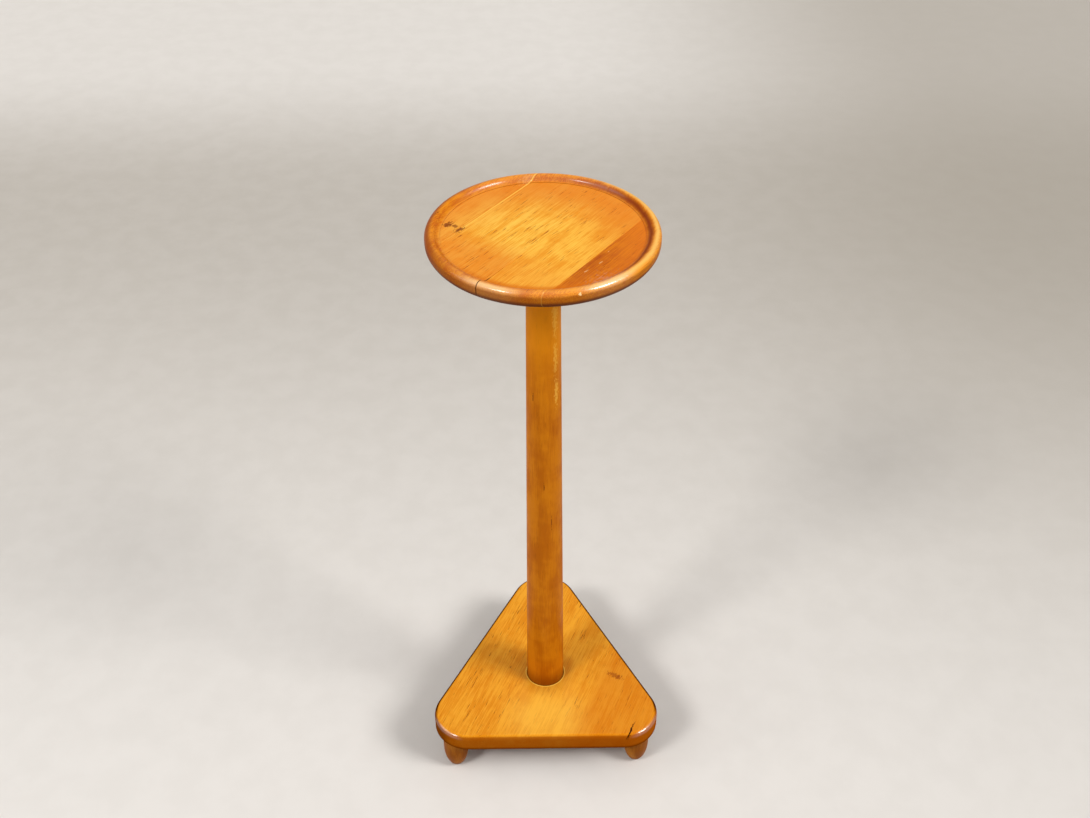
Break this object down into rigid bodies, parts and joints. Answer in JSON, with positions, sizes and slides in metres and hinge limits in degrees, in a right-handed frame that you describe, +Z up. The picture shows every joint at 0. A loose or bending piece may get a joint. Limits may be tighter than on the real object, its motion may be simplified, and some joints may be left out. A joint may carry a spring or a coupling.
{
  "type": "tilt top table",
  "caption": "Small pedestal table: a dished round wooden top with a rolled rim tips up on pivot pins over a tall turned column that stands on a three-cornered base with domed feet.",
  "frame": {"origin": "on the floor, under the middle of the table's outline; the column axis stands 29.4 mm in front of it", "axes": "+Z up; -Y is the front, where the base's straight edge faces; the staves and the pivot axis run 54 degrees from +X towards +Y"},
  "size_m": [0.2964, 0.3088, 0.781],
  "materials": {
    "top_stave_dark": "satin lacquer",
    "top_stave_gold": "satin lacquer",
    "top_stave_honey": "satin lacquer",
    "top_stave_amber": "satin lacquer",
    "bearer_wood": "thin oil",
    "block_wood": "thin oil",
    "wedge_wood": "thin oil",
    "column_wood": "satin lacquer",
    "base_wood": "satin lacquer",
    "foot_wood": "satin lacquer",
    "button_wood": "satin lacquer",
    "screw_steel": "zinc plated",
    "pin_steel": "bright drawn",
    "button_brass": "dull"
  },
  "bodies": {
    "stand": {"base_board": "base_wood", "foot_left": "foot_wood", "foot_right": "foot_wood", "foot_back": "foot_wood", "column": "column_wood", "column_screw": "screw_steel", "column_washer": "screw_steel", "pivot_block": "block_wood", "tenon_wedge": "wedge_wood", "pivot_pin_left": "pin_steel", "pivot_pin_right": "pin_steel"},
    "tilting_top": {"top_stave_1": "top_stave_dark", "top_stave_2": "top_stave_gold", "top_stave_3": "top_stave_honey", "top_stave_4": "top_stave_amber", "bearer_left": "bearer_wood", "bearer_right": "bearer_wood", "bearer_screws_long": "screw_steel", "bearer_screws_short": "screw_steel", "button_screw": "button_brass", "button_washer": "button_brass"},
    "turn_button": {"turn_button": "button_wood"}
  },
  "joints": [
    {"name": "top_tilt", "type": "hinge", "parent": "stand", "child": "tilting_top", "pos_m": [0.01942, -0.04352, 0.7488], "axis": [0.5878, 0.809, 0], "range_deg": [0, 90]},
    {"name": "button_turn", "type": "hinge", "parent": "tilting_top", "child": "turn_button", "pos_m": [0.00688, 0.0243, 0.7298], "axis": [0, 0, 1], "range_deg": [0, 90]}
  ]
}
